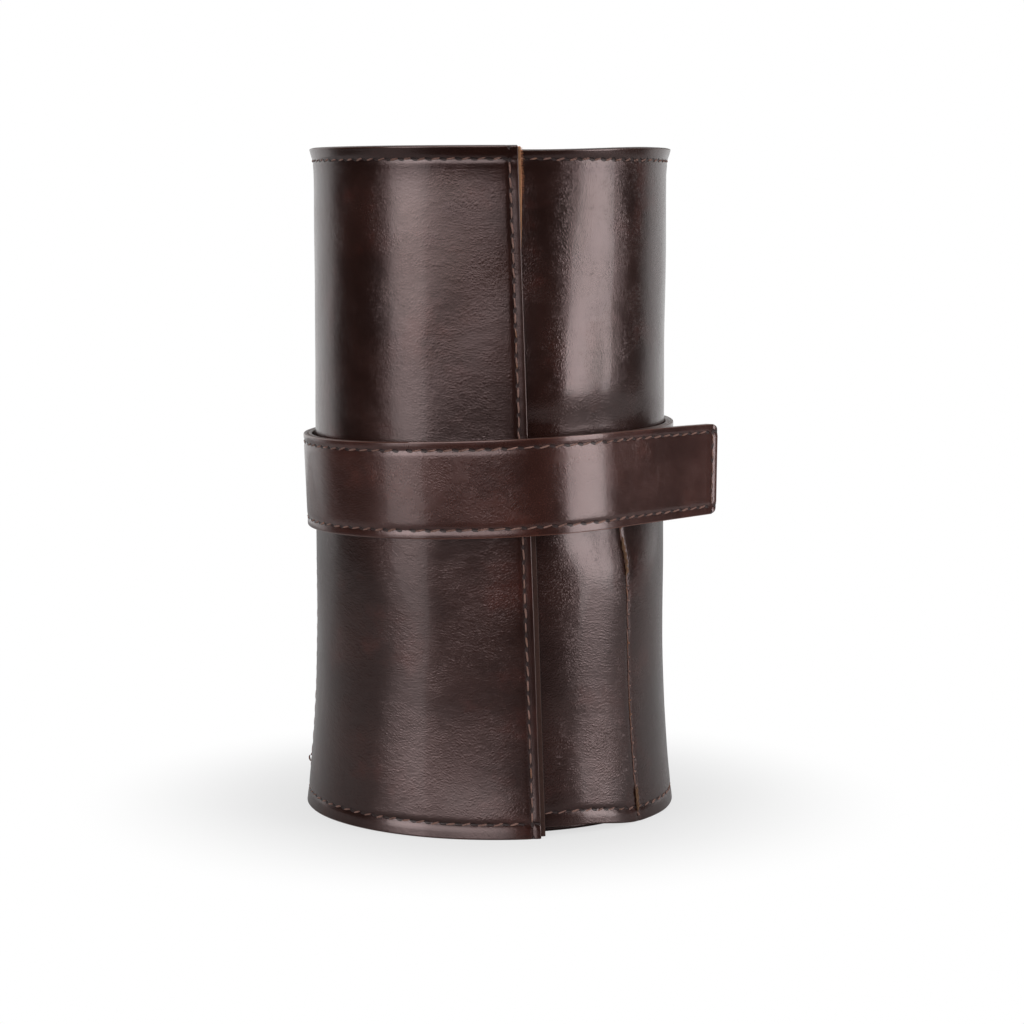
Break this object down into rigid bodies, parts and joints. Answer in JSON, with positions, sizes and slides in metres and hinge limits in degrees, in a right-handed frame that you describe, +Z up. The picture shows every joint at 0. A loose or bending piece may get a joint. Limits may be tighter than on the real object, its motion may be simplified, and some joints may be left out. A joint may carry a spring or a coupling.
{
  "type": "watch travel case",
  "caption": "Round leather watch roll that wraps over itself and closes with a long strap; it holds watches on padded pillows between partitions.",
  "frame": {"origin": "on the roll's axis, in the plane that it stands on", "axes": "+Z up along the roll's axis; the overlap and the strap's tail are at -Y, and the tail points to +X"},
  "size_m": [0.1126, 0.1033, 0.1785],
  "materials": {
    "leather": "deep brown pull-up leather with a polished face, fine long creases and warmer worn patches",
    "strap_leather": "the same brown leather, a little redder and more polished",
    "backing": "brown leather backing with a burnished edge",
    "suede": "tan suede lining with a soft nap",
    "pillow_suede": "tan suede with a soft nap over a padded roll",
    "board": "grey stiffening board, covered on both sides",
    "foam": "pale soft foam",
    "magnet": "nickel-plated disc magnet, hidden in the leather"
  },
  "bodies": {
    "case_back": {"back_leather": "leather", "back_board": "board", "back_lining": "suede", "strap_back_leather": "strap_leather", "strap_back_backing": "backing", "strap_patch": "backing", "foot_disc_leather": "leather", "foot_disc_board": "board", "foot_disc_suede": "suede", "mouth_disc_leather": "leather", "mouth_disc_board": "board", "mouth_disc_suede": "suede", "lower_divider_board": "board", "lower_divider_suede": "suede", "upper_divider_board": "board", "upper_divider_suede": "suede"},
    "wrap_flap": {"flap_leather": "leather", "flap_lining": "suede", "flap_pocket": "backing", "strap_side_leather": "strap_leather", "strap_side_backing": "backing"},
    "tuck_flap": {"tuck_leather": "leather", "tuck_lining": "suede", "tuck_pocket": "backing", "anchor_leather": "strap_leather", "anchor_backing": "backing", "anchor_magnet": "magnet"},
    "strap_arm": {"strap_arm_leather": "strap_leather", "strap_arm_backing": "backing"},
    "strap_tail": {"tail_leather": "strap_leather", "tail_backing": "backing", "tail_magnet": "magnet"},
    "foot_pillow": {"foot_pillow_core": "foam", "foot_pillow_cover": "pillow_suede", "foot_pillow_caps": "pillow_suede"},
    "middle_pillow": {"middle_pillow_core": "foam", "middle_pillow_cover": "pillow_suede", "middle_pillow_caps": "pillow_suede"},
    "mouth_pillow": {"mouth_pillow_core": "foam", "mouth_pillow_cover": "pillow_suede", "mouth_pillow_caps": "pillow_suede"}
  },
  "joints": [
    {"name": "flap_hinge", "type": "hinge", "parent": "case_back", "child": "wrap_flap", "pos_m": [-0.05077, 0.00534, 0.0913], "axis": [0, 0, -1], "range_deg": [0, 150]},
    {"name": "tuck_hinge", "type": "hinge", "parent": "case_back", "child": "tuck_flap", "pos_m": [0.04329, -0.02705, 0.0913], "axis": [0, 0, 1], "range_deg": [0, 120]},
    {"name": "arm_hinge", "type": "hinge", "parent": "wrap_flap", "child": "strap_arm", "pos_m": [-0.04339, -0.02649, 0.08956], "axis": [0.0401, 0, -0.9992], "range_deg": [0, 120]},
    {"name": "tail_hinge", "type": "hinge", "parent": "strap_arm", "child": "strap_tail", "pos_m": [0.01209, -0.05179, 0.09179], "axis": [0.0401, 0, -0.9992], "range_deg": [0, 75]},
    {"name": "foot_pillow_slide", "type": "slide", "parent": "case_back", "child": "foot_pillow", "axis": [0, -1, 0], "range_m": [0, 0.085]},
    {"name": "middle_pillow_slide", "type": "slide", "parent": "case_back", "child": "middle_pillow", "axis": [0, -1, 0], "range_m": [0, 0.085]},
    {"name": "mouth_pillow_slide", "type": "slide", "parent": "case_back", "child": "mouth_pillow", "axis": [0, -1, 0], "range_m": [0, 0.085]}
  ],
  "couplings": [
    {"joint": "tuck_hinge", "follows": "flap_hinge", "ratio": 0.8},
    {"joint": "foot_pillow_slide", "follows": "flap_hinge", "m_per_rad": 0.032468},
    {"joint": "middle_pillow_slide", "follows": "flap_hinge", "m_per_rad": 0.032468},
    {"joint": "mouth_pillow_slide", "follows": "flap_hinge", "m_per_rad": 0.032468}
  ]
}
